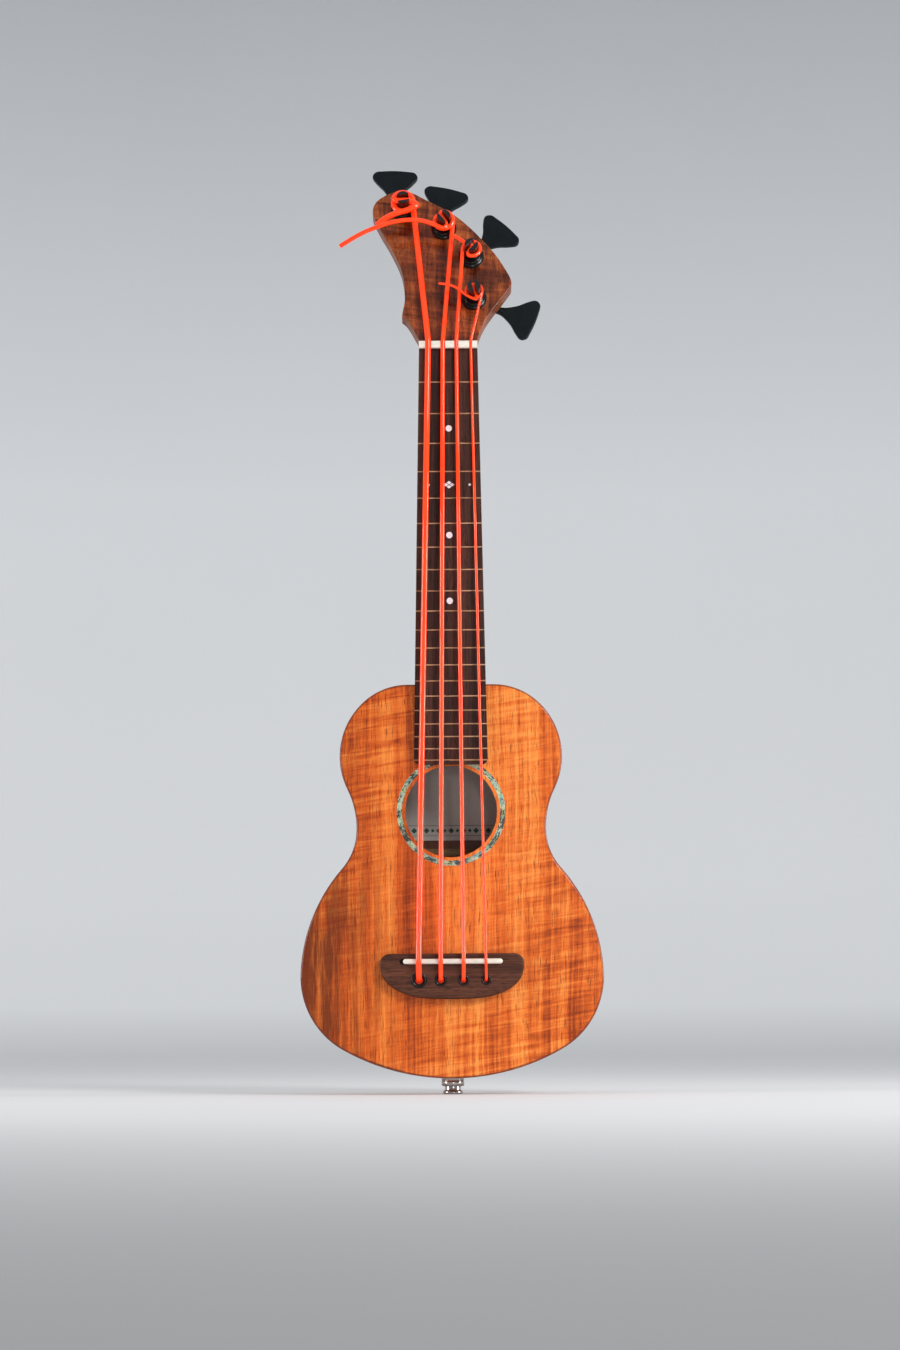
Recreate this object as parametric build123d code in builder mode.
from build123d import *
import os
from math import asin, atan2, cos, degrees, exp, pi, radians, sin, tan

# Acoustic bass ukulele. Millimetres. Z runs up the neck, the face looks towards -Y, +X is the treble side.
# The origin is the mouth of the output jack, on the centreline, at the instrument's lowest point.

# ---- driving dimensions: body ----
scale_length = 530.0  # nut to saddle
nut_z = 652.0  # edge of the nut where the open strings start
body_bottom, body_length = 14.0, 342.0
top_y = 38.0  # the soundboard's face lies at y = -top_y
depth_tail, depth_heel = 76.0, 66.0
top_thick, back_thick, side_thick = 2.8, 2.6, 2.2
edge_round, back_round = 2.2, 1.8

# Body outline from the tail's centreline round to the neck: radius and angle turned, negative where concave
outline_arcs = (
    (193, 29.2), (72.6, 63.2), (147, 38.7), (52, -39.4), (77.6, -27.8), (64.8, 74.6), (56.5, 41.5),
)

soundhole_z, soundhole_radius = 244.6, 39.9
rosette_inner, rosette_outer, rosette_deep = 42.8, 47.3, 1.2

lining_thick, lining_high = 5.5, 11.0
neck_block_half, neck_block_high = 32.0, 38.0
tail_block_half, tail_block_high = 38.0, 18.0
block_over = 10.0  # a cut past an end block's outer face
tenon_wide, tenon_deep, tenon_long, tenon_y = 18.0, 44.0, 14.0, -12.0
plate_wide, plate_high, plate_deep = 116.0, 36.0, 2.0  # hardwood plate under the bridge
brace_wide, brace_high, back_brace_high = 6.0, 9.0, 10.0
top_bar_z, back_bar_z = (300.0, 196.0), (64.0, 150.0, 212.0, 312.0)
fan_middle_z, fan_long = 113.0, 146.0
fan_spots = ((-40.0, -12.0), (0.0, 0.0), (40.0, 12.0))  # x and lean of each fan brace
label_z, label_wide, label_high, label_thick = 259.0, 92.0, 72.0, 0.25

# ---- driving dimensions: fingerboard, nut, neck and headstock ----
board_thick, board_end_z, board_corner = 6.0, 285.3, 5.0
nut_width, board_end_width = 51.5, 64.3
line_count, line_thick, line_deep = 20, 1.0, 1.6
dot_spaces, diamond_space = (3, 7, 10), 5
dot_radius, side_dot_radius, side_dot_x, mark_deep = 2.8, 1.15, 18.2, 1.0
diamond_apart, diamond_rise, diamond_half_wide, diamond_half_high = 2.7, 1.8, 2.2, 1.5
nut_thick, nut_high, nut_round = 6.5, 10.4, 1.0

neck_depth_nut, neck_depth_heel = 16.0, 19.0
heel_depth, heel_reach, heel_power = 65.0, 24.0, 1.6
heel_stations, heel_top, heel_spread = 16, 100.0, 1.6  # where the neck is shaped over the body

head_tilt = 17.0  # degrees back from the neck
head_thick, veneer_thick = 15.4, 2.5
head_start_y = 42.0  # the headplate's face at the nut lies at y = -head_start_y
head_low = 1.2  # the headstock's outline starts this far past the nut
throat_long = 15.0

# ---- driving dimensions: bridge ----
bridge_top_z, bridge_low_z, bridge_wide, bridge_thick = 121.4, 82.2, 124.5, 9.0
bridge_wide_z, bridge_round = 112.5, 2.0
bridge_hip = (46.1, 6.8)  # a point of the lower edge: its x, and its height over the lowest point
bridge_shoulder = (2.8, 2.4)  # in from the side and down from the top edge
bridge_flat_half = 53.25  # half the straight top edge
saddle_z = nut_z - scale_length - 7.5
saddle_long, saddle_thick, saddle_top_y, saddle_round = 86.0, 4.5, 51.0, 1.6
saddle_shift, saddle_slot_over, saddle_slot_deep = 0.6, 3.0, 5.5
pickup_high, pickup_thick = 1.6, 2.4

# ---- driving dimensions: strings ----
string_names = ("e", "a", "d", "g")
string_radius = {"e": 2.6, "a": 2.0, "d": 1.7, "g": 1.15}
nut_x = {"e": -17.6, "a": -4.7, "d": 7.2, "g": 19.8}
saddle_x = {"e": -28.9, "a": -9.8, "d": 10.0, "g": 29.2}
hole_x = {"e": -28.6, "a": -9.8, "d": 9.8, "g": 29.4}
string_hole_z, hole_clear = 98.5, 0.6
bush_radius = {"e": 6.15, "a": 4.85, "d": 4.5, "g": 4.1}
bush_clear, bush_deep, bush_proud = 1.3, 5.0, 0.3
knot_scale, knot_round = 1.9, 0.8
nut_slot_clear, nut_crest, string_over_board = 0.15, 0.5, 1.0
hole_rise, saddle_clear = 0.8, 0.25  # string's gap over the bridge at its hole, and over the saddle
hole_bend, edge_bend, level_bend = 3.1, 12.0, 120.0  # bend radii: the first in string radii
level_share, level_most = 0.3, 25.0  # level run before the post: share of the way, and its longest
wind_height = {"e": 12.5, "a": 11.5, "d": 13.5, "g": 10.0}
wind_side = {"e": 1, "a": 1, "d": -1, "g": 1}  # side of the post that the string reaches
wind_angle = 255.0

# Loose string ends past the posts: x, distance from the nut and height over the headplate
tail_route = {
    "e": (
        (-29.3, 126.3, 18.5), (-36.6, 122.5, 19), (-44.5, 120.4, 19), (-52, 117.9, 17.5), (-58.2, 114.8, 15),
        (-62.9, 111.6, 12.4),
    ),
    "a": (
        (-6.5, 106.6, 17), (-15.8, 110.6, 18.7), (-27.4, 111.9, 21.2), (-39.7, 110.7, 22.5),
        (-51.5, 108.6, 22), (-63, 104.9, 20.5), (-74.4, 101.2, 18), (-85.6, 96, 15), (-95.7, 90.4, 12),
    ),
    "d": ((14.5, 91.3, 17.2), (8.4, 95.2, 18.2), (3.1, 98.4, 18)),
    "g": (
        (22.8, 34.3, 16), (16.2, 37.2, 16.6), (10.8, 42.6, 17.2), (4.6, 46.6, 17.5), (-1.8, 48.6, 17.2),
        (-7.9, 49.5, 16.5),
    ),
}
bend_share = 0.45  # how much of the shorter run each bend of a loose end takes up

# ---- driving dimensions: tuners ----
# Post centre on the headplate (x, distance from the nut), directions of the key's shaft and the post's slot
post_at = {"e": (-39.3, 134.0), "a": (-3.2, 114.7), "d": (21.1, 85.4), "g": (23.1, 43.0)}
key_angle = {"e": 88.0, "a": 76.0, "d": 45.0, "g": -21.0}
slot_angle = {"e": 10.0, "a": -52.0, "d": 48.0, "g": -76.0}
post_radius, post_high, slot_deep, slot_room = 6.0, 23.5, 9.0, 0.6
post_chamfer, post_hole_clear, spindle_over = 1.0, 0.4, 0.8
running = 0.05  # radial clearance of a running fit

bushing_flange, bushing_collar, bushing_sleeve = 11.2, 8.6, 8.0
bushing_flange_high, bushing_collar_high, bushing_deep = 2.2, 5.4, 9.0

wheel_teeth, gear_module, wheel_wide = 20, 0.64, 4.5
wheel_pitch_radius, worm_pitch_radius = wheel_teeth * gear_module / 2, 3.2
worm_offset = wheel_pitch_radius + worm_pitch_radius
worm_pitch = pi * gear_module
gear_out, gear_in = 0.55, 0.8  # tooth height outside and inside the pitch circle
gap_root, gap_outer, thread_root, thread_crest = 1.0, 1.5, 0.95, 0.5
thread_turns, thread_sunk = 4, 0.2
worm_drop = 9.0  # worm axis behind the headstock's back
worm_half = 3 * worm_pitch

base_thick, base_left, base_right, base_down, base_up, base_corner = 1.6, 11.0, 11.0, 10.0, 13.5, 3.0
lug_thick, lug_half, lug_round, lug_clear = 3.5, 3.6, 1.5, 0.1
spindle_radius, shaft_radius, shaft_over, shaft_in_key = 3.0, 2.0, 0.6, 6.0
key_start, key_thick, key_neck_radius, key_neck_long = 14.5, 4.2, 3.1, 10.0
# Key's edge: distance past its start and half width, from its neck to the middle of its outer end
key_edge = (
    (0, 3.1), (9, 3.6), (15.5, 6.7), (21, 10.4), (27.2, 16.3), (33.7, 20.4), (38.6, 17.8), (39.8, 12.2),
    (40.5, 0),
)
screw_spots = ((-8.2, -7.2), (8.2, -7.2))
screw_radius, screw_head_radius, screw_head_high, screw_long = 1.1, 2.2, 1.4, 8.0

# ---- driving dimensions: output jack ----
jack_radius, jack_bore_long = 3.2, 36.0  # a 6.35 mm plug enters with this bore
jack_barrel_radius, jack_barrel_long = 5.6, 58.0
jack_flange_radius, jack_flange_long, jack_flange_chamfer = 9.9, 7.3, 1.2
strap_groove_radius, strap_ring_radius, strap_ring_long, strap_chamfer = 7.0, 8.7, 3.1, 0.5
jack_nut_radius, jack_nut_long = 8.5, 4.0

deep, across = 60.0, 300.0  # longer than any gap between the plates, and wider than the body

os.makedirs("parts", exist_ok=True)

# ---- planes that everything is placed on ----
face = Plane.XZ  # looks towards -Y, so offset(h) lies at y = -h
back_lean = (depth_tail - depth_heel) / body_length
back_outer = Plane(origin=(0, depth_tail - top_y, body_bottom), x_dir=(1, 0, 0), z_dir=(0, 1, back_lean))
back_inner = back_outer.offset(-back_thick)
back_axis = Axis(back_outer.origin, back_outer.z_dir)
inner_y = top_y - top_thick  # the soundboard's inner face lies at y = -inner_y
deep = 60.0  # longer than any gap between the plates

tilt = radians(head_tilt)
head = Plane(
    origin=(0, -head_start_y, nut_z + nut_thick), x_dir=(1, 0, 0), z_dir=(0, -cos(tilt), sin(tilt))
)


def finish(piece, name):
    """Label one finished piece and write its STEP."""
    piece.part.label = name
    export_step(piece.part, f"parts/{name}.step")


def outline(inset=0.0):
    """The body's outline as a flat face, drawn in from the true edge by inset."""
    with BuildSketch() as shape:
        with BuildLine():
            start, heading = Vector(0, body_bottom + inset), 0.0
            for radius, turn in outline_arcs:
                true_radius = radius - inset if turn > 0 else radius + inset
                arc = JernArc(start, (cos(radians(heading)), sin(radians(heading))), true_radius, turn)
                start, heading = arc @ 1, heading + turn
            Line(start, (0, start.Y))
            mirror(about=Plane.YZ)
        make_face()
    return shape.sketch


def outline_top():
    """Height of the body's end at the neck, from the arcs."""
    height, heading = body_bottom, 0.0
    for radius, turn in outline_arcs:
        after = heading + turn
        bend = radius if turn > 0 else -radius
        height += bend * (cos(radians(heading)) - cos(radians(after)))
        heading = after
    return height


body_top = outline_top()


def neck_depth(z):
    """Depth of the neck behind the fingerboard at height z: a slow taper that swells into the heel."""
    above = z - body_top
    taper = neck_depth_heel + (neck_depth_nut - neck_depth_heel) * above / (nut_z - body_top)
    return taper + (heel_depth - neck_depth_heel) * exp(-((above / heel_reach) ** heel_power))


def board_half_width(z):
    """Half the fingerboard's width at height z."""
    share = (nut_z - z) / (nut_z - board_end_z)
    return (nut_width + share * (board_end_width - nut_width)) / 2


def tuner_plane(name):
    """A tuner's own frame: its origin on the headplate at the post, X towards the key, Z out of the face."""
    turn = radians(key_angle[name])
    x, along = post_at[name]
    return Plane(
        origin=head.from_local_coords((x, along, 0)), x_dir=head.x_dir * cos(turn) + head.y_dir * sin(turn),
        z_dir=head.z_dir,
    )


def head_point(x, along, height):
    """A point over the headplate, from its x, its distance from the nut and its height over the face."""
    return head.from_local_coords((x, along, height))


# ---- body: soundboard with its inlaid ring ----
with BuildPart() as soundboard:
    with BuildSketch(face.offset(inner_y)):
        add(outline())
        with Locations((0, soundhole_z)):
            Circle(soundhole_radius, mode=Mode.SUBTRACT)
    extrude(amount=top_thick)
    fillet(soundboard.faces().sort_by(Axis.Y)[0].outer_wire().edges(), edge_round)
    with BuildSketch(face.offset(top_y)):
        with Locations((0, soundhole_z)):
            Circle(rosette_outer)
            Circle(rosette_inner, mode=Mode.SUBTRACT)
    extrude(amount=-rosette_deep, mode=Mode.SUBTRACT)
    with BuildSketch(face.offset(inner_y)):
        for name in string_names:
            with Locations((hole_x[name], string_hole_z)):
                Circle(string_radius[name] + hole_clear)
    extrude(amount=top_thick, mode=Mode.SUBTRACT)

with BuildPart() as rosette:
    with BuildSketch(face.offset(top_y)):
        with Locations((0, soundhole_z)):
            Circle(rosette_outer)
            Circle(rosette_inner, mode=Mode.SUBTRACT)
    extrude(amount=-rosette_deep)

# ---- body: bent sides, split on the centreline ----
with BuildPart() as ribs:
    with BuildSketch(face.offset(inner_y)):
        add(outline())
    extrude(amount=-2 * deep)
    with BuildSketch(face.offset(inner_y)):
        add(outline(side_thick))
    extrude(amount=-2 * deep, mode=Mode.SUBTRACT)
    split(bisect_by=back_inner, keep=Keep.BOTTOM)
    with BuildSketch(Plane.XY):
        Circle(jack_barrel_radius)
    extrude(amount=body_bottom + side_thick + block_over, mode=Mode.SUBTRACT)
    with BuildSketch(Plane.XY.offset(body_top)):
        with Locations((0, tenon_y)):
            Rectangle(tenon_wide, tenon_deep)
    extrude(amount=-tenon_long, mode=Mode.SUBTRACT)

with BuildPart() as side_treble:
    add(ribs.part)
    split(bisect_by=Plane.YZ, keep=Keep.TOP)

with BuildPart() as side_bass:
    add(ribs.part)
    split(bisect_by=Plane.YZ, keep=Keep.BOTTOM)

with BuildPart() as back_plate:
    with BuildSketch(face.offset(-(depth_heel - top_y - 2 * back_thick))):
        add(outline())
    extrude(amount=-deep)
    split(bisect_by=back_outer, keep=Keep.BOTTOM)
    split(bisect_by=back_inner, keep=Keep.TOP)
    fillet(back_plate.faces().sort_by(back_axis)[-1].edges(), back_round)

# ---- body: end blocks, linings and braces ----
with BuildPart() as neck_block:
    with BuildSketch(face.offset(inner_y)):
        add(outline(side_thick))
        with Locations((0, body_top - neck_block_high / 2)):
            Rectangle(2 * neck_block_half, neck_block_high, mode=Mode.INTERSECT)
    extrude(amount=-2 * deep)
    split(bisect_by=back_inner, keep=Keep.BOTTOM)
    with BuildSketch(Plane.XY.offset(body_top)):
        with Locations((0, tenon_y)):
            Rectangle(tenon_wide, tenon_deep)
    extrude(amount=-tenon_long, mode=Mode.SUBTRACT)

with BuildPart() as tail_block:
    with BuildSketch(face.offset(inner_y)):
        add(outline(side_thick))
        with Locations((0, body_bottom + tail_block_high / 2)):
            Rectangle(2 * tail_block_half, tail_block_high, mode=Mode.INTERSECT)
    extrude(amount=-2 * deep)
    split(bisect_by=back_inner, keep=Keep.BOTTOM)
    with BuildSketch(Plane.XY):
        Circle(jack_barrel_radius)
    extrude(amount=body_bottom + tail_block_high + block_over, mode=Mode.SUBTRACT)

with BuildPart() as strip:
    with BuildSketch(face.offset(inner_y)):
        add(outline(side_thick))
    extrude(amount=-2 * deep)
    with BuildSketch(face.offset(inner_y)):
        add(outline(side_thick + lining_thick))
        with Locations((0, body_top - neck_block_high / 2)):
            Rectangle(2 * neck_block_half, neck_block_high + 2 * block_over)
        with Locations((0, body_bottom + tail_block_high / 2)):
            Rectangle(2 * tail_block_half, tail_block_high + 2 * block_over)
    extrude(amount=-2 * deep, mode=Mode.SUBTRACT)

with BuildPart() as top_linings:
    add(strip.part)
    split(bisect_by=face.offset(inner_y - lining_high), keep=Keep.TOP)

with BuildPart() as back_linings:
    add(strip.part)
    split(bisect_by=back_inner, keep=Keep.BOTTOM)
    split(bisect_by=back_inner.offset(-lining_high), keep=Keep.TOP)


def inside_area():
    """The flat area inside the linings, which braces and plates stay within."""
    return outline(side_thick + lining_thick)


def bridge_plate_area():
    """The hardwood plate's rectangle under the bridge."""
    with BuildSketch() as shape:
        with Locations((0, (bridge_top_z + bridge_low_z) / 2)):
            Rectangle(plate_wide, plate_high)
    return shape.sketch


with BuildPart() as bridge_plate:
    with BuildSketch(face.offset(inner_y)):
        add(bridge_plate_area())
        for name in string_names:
            with Locations((hole_x[name], string_hole_z)):
                Circle(string_radius[name] + hole_clear, mode=Mode.SUBTRACT)
    extrude(amount=-plate_deep)

with BuildPart() as top_braces:
    with BuildSketch(face.offset(inner_y)):
        for height in top_bar_z:
            with Locations((0, height)):
                Rectangle(across, brace_wide)
        for x, angle in fan_spots:
            with Locations((x, fan_middle_z)):
                Rectangle(brace_wide, fan_long, rotation=angle)
        add(inside_area(), mode=Mode.INTERSECT)
    extrude(amount=-brace_high)
    with BuildSketch(face.offset(inner_y)):
        add(bridge_plate_area())
    extrude(amount=-plate_deep, mode=Mode.SUBTRACT)

with BuildPart() as back_braces:
    with BuildSketch(face):
        for height in back_bar_z:
            with Locations((0, height)):
                Rectangle(across, brace_wide)
        add(inside_area(), mode=Mode.INTERSECT)
    extrude(amount=-deep)
    split(bisect_by=back_inner, keep=Keep.BOTTOM)
    split(bisect_by=back_inner.offset(-back_brace_high), keep=Keep.TOP)

with BuildPart() as label:
    with BuildSketch(face):
        with Locations((0, label_z)):
            Rectangle(label_wide, label_high)
    extrude(amount=-deep)
    split(bisect_by=back_inner, keep=Keep.BOTTOM)
    split(bisect_by=back_inner.offset(-label_thick), keep=Keep.TOP)

# ---- neck: heel, shaft and headstock core in one piece of wood ----


def neck_section(z):
    """A half-ellipse section of the neck at height z, flat under the fingerboard."""
    back = neck_depth(z)
    with BuildSketch(Plane.XY.offset(z)) as shape:
        with Locations((0, -top_y)):
            Ellipse(board_half_width(z), back)
        with Locations((0, -top_y - back)):
            Rectangle(4 * back, 2 * back, mode=Mode.SUBTRACT)
    return shape.sketch


def head_outline():
    """The headstock's outline from the nut up, in the headplate's own plane."""
    horn, crown, corner = (-40.6, 26.8), (-40.5, 154.5), (56.6, 58.8)
    with BuildSketch() as shape:
        with BuildLine():
            Spline((-nut_width / 2, head_low), (-28.9, 9), (-36, 22.2), horn, tangents=((-0.1, 1), (-1, 0.8)))
            Spline(
                horn, (-38.1, 44), (-40.5, 70), (-49.5, 94), (-61.5, 118), (-66.9, 133.7), (-61, 146), crown,
                tangents=((0.1, 1), (1, 0)),
            )
            Spline(
                crown, (-17.2, 143.9), (10.1, 126), (38, 94.7), (51.5, 73), corner,
                tangents=((1, 0), (0, -1)),
            )
            Spline(corner, (53, 51.5), (40.6, 33.6), (33, 21.5), (27.6, 9), (nut_width / 2, head_low))
            Line((nut_width / 2, head_low), (-nut_width / 2, head_low))
        make_face()
    return shape.sketch


with BuildPart() as throat:
    core_low = head.from_local_coords((0, head_low, -veneer_thick))
    core_high = head.from_local_coords((0, throat_long, -veneer_thick))
    core_back = head.from_local_coords((0, throat_long, -head_thick))
    with BuildSketch(Plane.YZ.offset(-nut_width / 2)):
        with BuildLine():
            Polyline(
                (-top_y, nut_z - throat_long), (-top_y, nut_z + nut_thick), (core_low.Y, core_low.Z),
                (core_high.Y, core_high.Z), (core_back.Y, core_back.Z),
                (neck_depth_nut - top_y, nut_z - throat_long), (-top_y, nut_z - throat_long),
            )
        make_face()
    extrude(amount=nut_width)
    with BuildSketch(Plane.XY.offset(nut_z - throat_long)):
        with Locations((0, -top_y)):
            Ellipse(nut_width / 2, neck_depth_nut)
        with Locations((0, -top_y - nut_high / 2)):
            Rectangle(nut_width, nut_high)
    extrude(amount=3 * throat_long, mode=Mode.INTERSECT)

with BuildPart() as neck:
    for station in range(heel_stations + 1):
        add(neck_section(body_top + heel_top * (station / heel_stations) ** heel_spread))
    add(neck_section(nut_z + nut_thick))
    loft(ruled=True)
    with BuildSketch(Plane.XY.offset(body_top)):
        with Locations((0, tenon_y)):
            Rectangle(tenon_wide, tenon_deep)
    extrude(amount=-tenon_long)
    with BuildSketch(head.offset(-veneer_thick)):
        add(head_outline())
    extrude(amount=-(head_thick - veneer_thick))
    add(throat.part)
    for name in string_names:
        with BuildSketch(head):
            with Locations(post_at[name]):
                Circle(bushing_sleeve)
        extrude(amount=-bushing_deep, mode=Mode.SUBTRACT)
        with BuildSketch(head):
            with Locations(post_at[name]):
                Circle(post_radius + post_hole_clear)
        extrude(amount=-(head_thick + 1), mode=Mode.SUBTRACT)
        with BuildSketch(tuner_plane(name).offset(-head_thick)):
            with Locations(*screw_spots):
                Circle(screw_radius)
        extrude(amount=screw_long, mode=Mode.SUBTRACT)

with BuildPart() as headplate:
    with BuildSketch(head):
        add(head_outline())
        for name in string_names:
            with Locations(post_at[name]):
                Circle(bushing_sleeve, mode=Mode.SUBTRACT)
    extrude(amount=-veneer_thick)

# ---- fingerboard, lines, inlays and nut ----


def board_area():
    """The fingerboard's outline seen from the front."""
    with BuildSketch() as shape:
        with BuildLine():
            Polyline(
                (-nut_width / 2, nut_z), (nut_width / 2, nut_z), (board_end_width / 2, board_end_z),
                (-board_end_width / 2, board_end_z), (-nut_width / 2, nut_z),
            )
        make_face()
        fillet(shape.vertices().group_by(Axis.Y)[0], board_corner)
    return shape.sketch


def line_area():
    """The position lines that cross the fingerboard, spaced by semitones."""
    with BuildSketch() as shape:
        for number in range(1, line_count + 1):
            with Locations((0, nut_z - scale_length * (1 - 2 ** (-number / 12)))):
                Rectangle(2 * board_end_width, line_thick)
        add(board_area(), mode=Mode.INTERSECT)
    return shape.sketch


def mark_area():
    """Round marks on the centreline, and four small diamonds between two dots in one space."""
    with BuildSketch() as shape:
        for number in dot_spaces:
            with Locations((0, mark_z(number))):
                Circle(dot_radius)
        for x, rise in ((diamond_apart, 0), (-diamond_apart, 0), (0, diamond_rise), (0, -diamond_rise)):
            with Locations((x, mark_z(diamond_space) + rise)):
                Polygon(
                    (diamond_half_wide, 0), (0, diamond_half_high), (-diamond_half_wide, 0),
                    (0, -diamond_half_high), align=None,
                )
        with Locations((-side_dot_x, mark_z(diamond_space)), (side_dot_x, mark_z(diamond_space))):
            Circle(side_dot_radius)
    return shape.sketch


def mark_z(number):
    """Height of the middle of a position's space."""
    low, high = (scale_length * (1 - 2 ** (-step / 12)) for step in (number - 1, number))
    return nut_z - (low + high) / 2


with BuildPart() as fingerboard:
    with BuildSketch(face.offset(top_y)):
        add(board_area())
    extrude(amount=board_thick)
    with BuildSketch(face.offset(top_y + board_thick)):
        add(line_area())
    extrude(amount=-line_deep, mode=Mode.SUBTRACT)
    with BuildSketch(face.offset(top_y + board_thick)):
        add(mark_area())
    extrude(amount=-mark_deep, mode=Mode.SUBTRACT)

with BuildPart() as fret_lines:
    with BuildSketch(face.offset(top_y + board_thick)):
        add(line_area())
    extrude(amount=-line_deep)

with BuildPart() as position_marks:
    with BuildSketch(face.offset(top_y + board_thick)):
        add(mark_area())
    extrude(amount=-mark_deep)


def string_y(name):
    """Distance in front of y = 0 of a string's centre at the nut."""
    return top_y + board_thick + string_over_board + string_radius[name]


with BuildPart() as nut:
    with BuildSketch(Plane.XY.offset(nut_z)):
        with Locations((0, -top_y - nut_high / 2)):
            Rectangle(nut_width, nut_high)
    extrude(amount=nut_thick)
    fillet(nut.edges().filter_by(Axis.X).group_by(Axis.Y)[0], nut_round)
    for name in string_names:
        with BuildSketch(Plane.XY.offset(nut_z)):
            with Locations((nut_x[name], -string_y(name))):
                Circle(string_radius[name] + nut_slot_clear)
            with Locations((nut_x[name], -string_y(name) - nut_high / 2)):
                Rectangle(2 * (string_radius[name] + nut_slot_clear), nut_high)
        extrude(amount=nut_thick, mode=Mode.SUBTRACT)

# ---- bridge ----
with BuildPart() as bridge:
    with BuildSketch(face.offset(top_y)):
        with BuildLine():
            side, hip, shoulder = bridge_wide / 2, bridge_hip, bridge_shoulder
            Spline(
                (-side, bridge_wide_z), (-hip[0], bridge_low_z + hip[1]), (0, bridge_low_z),
                tangents=((0, -1), (1, 0)),
            )
            Spline(
                (-side, bridge_wide_z), (-side + shoulder[0], bridge_top_z - shoulder[1]),
                (-bridge_flat_half, bridge_top_z), tangents=((0, 1), (1, 0)),
            )
            Line((-bridge_flat_half, bridge_top_z), (0, bridge_top_z))
            mirror(about=Plane.YZ)
        make_face()
    extrude(amount=bridge_thick)
    fillet(bridge.faces().sort_by(Axis.Y)[0].edges(), bridge_round)
    with BuildSketch(face.offset(top_y + bridge_thick)):
        with Locations((saddle_shift - saddle_slot_over / 2, saddle_z)):
            SlotOverall(saddle_long + saddle_slot_over, saddle_thick)
    extrude(amount=-saddle_slot_deep, mode=Mode.SUBTRACT)
    for name in string_names:
        with BuildSketch(face.offset(top_y + bridge_thick)):
            with Locations((hole_x[name], string_hole_z)):
                Circle(bush_radius[name])
        extrude(amount=-bush_deep, mode=Mode.SUBTRACT)
        with BuildSketch(face.offset(top_y)):
            with Locations((hole_x[name], string_hole_z)):
                Circle(string_radius[name] + hole_clear)
        extrude(amount=bridge_thick, mode=Mode.SUBTRACT)

with BuildPart() as string_bushes:
    with BuildSketch(face.offset(top_y + bridge_thick - bush_deep)):
        for name in string_names:
            with Locations((hole_x[name], string_hole_z)):
                Circle(bush_radius[name])
                Circle(string_radius[name] + bush_clear, mode=Mode.SUBTRACT)
    extrude(amount=bush_deep + bush_proud)

with BuildPart() as pickup_strip:
    with BuildSketch(face.offset(top_y + bridge_thick - saddle_slot_deep)):
        with Locations((saddle_shift, saddle_z)):
            SlotOverall(saddle_long, pickup_thick)
    extrude(amount=pickup_high)

with BuildPart() as saddle:
    with BuildSketch(face.offset(top_y + bridge_thick - saddle_slot_deep + pickup_high)):
        with Locations((saddle_shift, saddle_z)):
            SlotOverall(saddle_long, saddle_thick)
    extrude(amount=saddle_top_y - (top_y + bridge_thick - saddle_slot_deep + pickup_high))
    fillet(saddle.faces().sort_by(Axis.Y)[0].edges(), saddle_round)

with BuildPart() as string_knots:
    for name in string_names:
        with BuildSketch(face.offset(inner_y - plate_deep)):
            with Locations((hole_x[name], string_hole_z)):
                Circle(knot_scale * string_radius[name])
        extrude(amount=-knot_scale * string_radius[name])
    fillet(string_knots.edges().filter_by(GeomType.CIRCLE), knot_round)

# ---- output jack, which is also the end strap button ----
with BuildPart() as jack_barrel:
    with BuildSketch(Plane.XY):
        Circle(jack_barrel_radius)
    extrude(amount=jack_barrel_long)
    with BuildSketch(Plane.XY):
        Circle(jack_radius)
    extrude(amount=jack_bore_long, mode=Mode.SUBTRACT)

with BuildPart() as strap_button:
    with BuildSketch(Plane.XY):
        Circle(strap_ring_radius)
    extrude(amount=strap_ring_long)
    chamfer(strap_button.edges(), strap_chamfer)
    with BuildSketch(Plane.XY.offset(strap_ring_long)):
        Circle(strap_groove_radius)
    extrude(amount=body_bottom - jack_flange_long - strap_ring_long)
    with BuildSketch(Plane.XY):
        Circle(jack_barrel_radius)
    extrude(amount=body_bottom, mode=Mode.SUBTRACT)

with BuildPart() as jack_flange:
    with BuildSketch(Plane.XY.offset(body_bottom - jack_flange_long)):
        Circle(jack_flange_radius)
    extrude(amount=jack_flange_long)
    chamfer(jack_flange.edges().group_by(Axis.Z)[0], jack_flange_chamfer)
    with BuildSketch(Plane.XY):
        Circle(jack_barrel_radius)
    extrude(amount=2 * body_bottom, mode=Mode.SUBTRACT)

with BuildPart() as jack_inner_nut:
    with BuildSketch(Plane.XY.offset(body_bottom + tail_block_high)):
        RegularPolygon(jack_nut_radius, 6)
        Circle(jack_barrel_radius, mode=Mode.SUBTRACT)
    extrude(amount=jack_nut_long)

# ---- tuners: each has a base, a post, a worm wheel, a worm and a key ----
with BuildPart() as tuner_bushings:
    for name in string_names:
        with BuildSketch(tuner_plane(name)):
            Circle(bushing_flange)
        extrude(amount=bushing_flange_high)
        with BuildSketch(tuner_plane(name)):
            Circle(bushing_collar)
        extrude(amount=bushing_collar_high)
        with BuildSketch(tuner_plane(name)):
            Circle(bushing_sleeve)
        extrude(amount=-bushing_deep)
        with BuildSketch(tuner_plane(name).offset(-bushing_deep)):
            Circle(post_radius + running)
        extrude(amount=bushing_deep + bushing_collar_high, mode=Mode.SUBTRACT)

with BuildPart() as tuner_screws:
    for name in string_names:
        with BuildSketch(tuner_plane(name).offset(-head_thick - base_thick)):
            with Locations(*screw_spots):
                Circle(screw_radius)
        extrude(amount=screw_long + base_thick)
        with BuildSketch(tuner_plane(name).offset(-head_thick - base_thick)):
            with Locations(*screw_spots):
                Circle(screw_head_radius)
        extrude(amount=-screw_head_high)


# The shared shapes are drawn in a tuner's own frame and then placed at each post
home = Plane.XY
back_of_head = home.offset(-head_thick)
worm_line = Plane(origin=(0, worm_offset, -head_thick - worm_drop), x_dir=(0, -1, 0), z_dir=(1, 0, 0))

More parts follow.
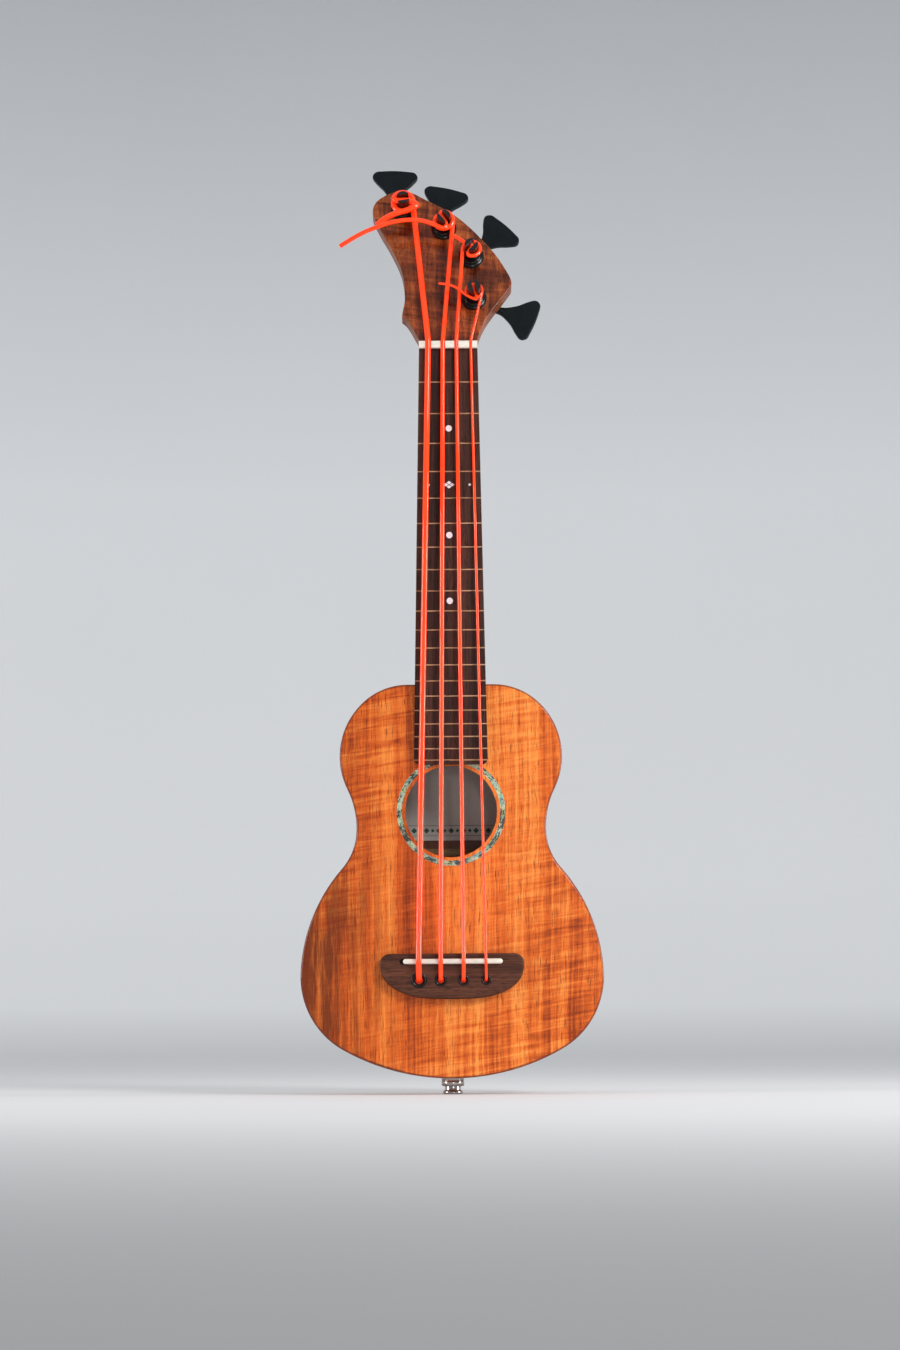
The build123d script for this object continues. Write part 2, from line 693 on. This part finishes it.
with BuildPart() as base:
    with BuildSketch(back_of_head):
        with Locations(((base_right - base_left) / 2, (base_up - base_down) / 2)):
            RectangleRounded(base_left + base_right, base_up + base_down, base_corner)
    extrude(amount=-base_thick)
    for start in (-worm_half - lug_clear - lug_thick, worm_half + lug_clear):
        with BuildSketch(worm_line.offset(start)):
            with Locations((0, (lug_half - worm_drop) / 2)):
                Rectangle(2 * lug_half, lug_half + worm_drop)
        extrude(amount=lug_thick)
    fillet(base.edges().filter_by(Axis.X).group_by(Axis.Z)[0], lug_round)
    with BuildSketch(back_of_head):
        Circle(spindle_radius + running)
        with Locations(*screw_spots):
            Circle(screw_radius)
    extrude(amount=-base_thick, mode=Mode.SUBTRACT)
    with BuildSketch(worm_line.offset(-deep / 2)):
        Circle(shaft_radius + running)
    extrude(amount=deep, mode=Mode.SUBTRACT)

wheel_top = -head_thick - worm_drop + wheel_wide / 2
with BuildPart() as wheel:
    with BuildSketch(home.offset(wheel_top)):
        Circle(wheel_pitch_radius + gear_out)
        Circle(spindle_radius, mode=Mode.SUBTRACT)
        with PolarLocations(0, wheel_teeth, start_angle=90):
            root, outside = wheel_pitch_radius - gear_in, wheel_pitch_radius + gear_out + 1
            Polygon(
                (root, -gap_root / 2), (outside, -gap_outer / 2), (outside, gap_outer / 2),
                (root, gap_root / 2), align=None, mode=Mode.SUBTRACT,
            )
    extrude(amount=-wheel_wide)

# The worm in a frame of its own: Z along its shaft towards the key, X towards the wheel
core, crest = worm_pitch_radius - gear_in, worm_pitch_radius + gear_out
with BuildPart() as worm:
    with BuildLine():
        thread = Helix(
            worm_pitch, thread_turns * worm_pitch, core, center=(0, 0, -thread_turns * worm_pitch / 2)
        )
    with BuildSketch(Plane(origin=thread @ 0, x_dir=(1, 0, 0), z_dir=thread % 0)):
        Polygon(
            (-thread_sunk, -thread_root / 2), (crest - core, -thread_crest / 2),
            (crest - core, thread_crest / 2), (-thread_sunk, thread_root / 2), align=None,
        )
    sweep(is_frenet=True)
    with BuildSketch(Plane.XY.offset(-worm_half)):
        Circle(core)
    extrude(amount=2 * worm_half)
    shaft_start = -worm_half - lug_clear - lug_thick - shaft_over
    with BuildSketch(Plane.XY.offset(shaft_start)):
        Circle(shaft_radius)
    extrude(amount=key_start + shaft_in_key - shaft_start)

with BuildPart() as key:
    blade = Plane(origin=worm_line.origin, x_dir=(1, 0, 0), z_dir=(0, 0, 1))
    with BuildSketch(blade.offset(-key_thick / 2)):
        with BuildLine():
            edge = [(key_start + past, half) for past, half in key_edge]
            Spline(*edge, tangents=((1, 0), (0, -1)))
            Line(edge[0], (key_start, 0))
            mirror(about=Plane.XZ)
        make_face()
    extrude(amount=key_thick)
    with BuildSketch(worm_line.offset(key_start)):
        Circle(key_neck_radius)
    extrude(amount=key_neck_long)
    with BuildSketch(worm_line.offset(key_start)):
        Circle(shaft_radius)
    extrude(amount=shaft_in_key, mode=Mode.SUBTRACT)


def tuner_post(name):
    """The slotted string post, with a thinner spindle through the base plate to the worm wheel."""
    with BuildPart() as post:
        with BuildSketch(home.offset(-head_thick + running)):
            Circle(post_radius)
        extrude(amount=head_thick + post_high - running)
        chamfer(post.faces().sort_by(Axis.Z)[-1].edges(), post_chamfer)
        with BuildSketch(home.offset(-head_thick + running)):
            Circle(spindle_radius)
        extrude(amount=wheel_top - wheel_wide - spindle_over + head_thick)
        with BuildSketch(home.offset(post_high - slot_deep)):
            Rectangle(
                3 * post_radius, 2 * string_radius[name] + slot_room,
                rotation=slot_angle[name] - key_angle[name],
            )
        extrude(amount=2 * slot_deep, mode=Mode.SUBTRACT)
    return post


def placed(piece, name, frame=home):
    """A copy of a tuner piece at one string's post, from the frame that the piece was drawn in."""
    with BuildPart() as copy:
        add(piece.part.moved(tuner_plane(name).location * frame.location))
    return copy


# ---- strings ----


def string_route(name):
    """A string's centreline: up through the bridge, over saddle and nut, and round its post."""
    radius = string_radius[name]
    around = post_radius + running + radius
    nut_point = Vector(nut_x[name], -string_y(name), nut_z + nut_thick + nut_crest)
    start = head.to_local_coords(nut_point)
    x, along = post_at[name]
    reach = Vector(x - start.X, along - start.Y)
    side = wind_side[name]
    aim = degrees(atan2(reach.Y, reach.X)) - side * degrees(asin(around / reach.length))
    first = aim - side * 90
    run = reach.length * cos(asin(around / reach.length))
    level_run = min(level_share * run, level_most)

    def on_circle(angle):
        return head_point(
            x + around * cos(radians(angle)), along + around * sin(radians(angle)), wind_height[name]
        )

    touch = on_circle(first)
    along_aim = head.x_dir * cos(radians(aim)) + head.y_dir * sin(radians(aim))
    points = [
        Vector(hole_x[name], -(inner_y - plate_deep), string_hole_z),
        Vector(hole_x[name], -(top_y + bridge_thick + radius + hole_rise), string_hole_z),
        Vector(saddle_x[name], -(saddle_top_y + radius + saddle_clear), saddle_z),
        nut_point,
        touch - along_aim * level_run,
        touch,
    ]
    return points, [on_circle(first + side * wind_angle * share) for share in (0.5, 1)]


def string_tube(name):
    """One string as a tube along its route."""
    radius = string_radius[name]
    points, (half_way, end) = string_route(name)
    bends = (hole_bend * radius, edge_bend, edge_bend, level_bend)
    with BuildPart() as tube:
        with BuildLine():
            FilletPolyline(*points, radius=bends)
            ThreePointArc(points[-1], half_way, end)
        with BuildSketch(Plane(origin=points[0], x_dir=(1, 0, 0), z_dir=(0, -1, 0))):
            Circle(radius)
        sweep()
    return tube


def tail_tube(name):
    """The loose end past the post: straight runs joined by arcs as large as the runs allow."""
    points = [head_point(*spot) for spot in tail_route[name]]
    bends = []
    for before, here, after in zip(points, points[1:], points[2:]):
        arriving, leaving = here - before, after - here
        turn = radians(arriving.get_angle(leaving))
        bends.append(bend_share * min(arriving.length, leaving.length) / tan(turn / 2))
    with BuildPart() as tube:
        with BuildLine():
            FilletPolyline(*points, radius=bends)
        with BuildSketch(Plane(origin=points[0], z_dir=points[1] - points[0])):
            Circle(string_radius[name])
        sweep()
    print(name, "tail bends", [round(bend, 1) for bend in bends])
    return tube


for piece, name in (
    (soundboard, "soundboard"), (rosette, "rosette"), (side_treble, "side_treble"), (side_bass, "side_bass"),
    (back_plate, "back_plate"), (neck_block, "neck_block"), (tail_block, "tail_block"),
    (top_linings, "top_linings"), (back_linings, "back_linings"), (bridge_plate, "bridge_plate"),
    (top_braces, "top_braces"), (back_braces, "back_braces"), (label, "label"), (neck, "neck"),
    (headplate, "headplate"), (fingerboard, "fingerboard"), (fret_lines, "fret_lines"),
    (position_marks, "position_marks"), (nut, "nut"), (bridge, "bridge"), (string_bushes, "string_bushes"),
    (pickup_strip, "pickup_strip"), (saddle, "saddle"), (string_knots, "string_knots"),
    (jack_barrel, "jack_barrel"), (strap_button, "strap_button"), (jack_flange, "jack_flange"),
    (jack_inner_nut, "jack_inner_nut"), (tuner_bushings, "tuner_bushings"), (tuner_screws, "tuner_screws"),
):
    finish(piece, name)

for name in string_names:
    finish(string_tube(name), f"string_{name}")
    finish(tail_tube(name), f"string_{name}_tail")
    finish(placed(base, name), f"tuner_base_{name}")
    finish(placed(tuner_post(name), name), f"tuner_post_{name}")
    finish(placed(wheel, name), f"tuner_wheel_{name}")
    finish(placed(worm, name, worm_line), f"tuner_worm_{name}")
    finish(placed(key, name), f"tuner_key_{name}")
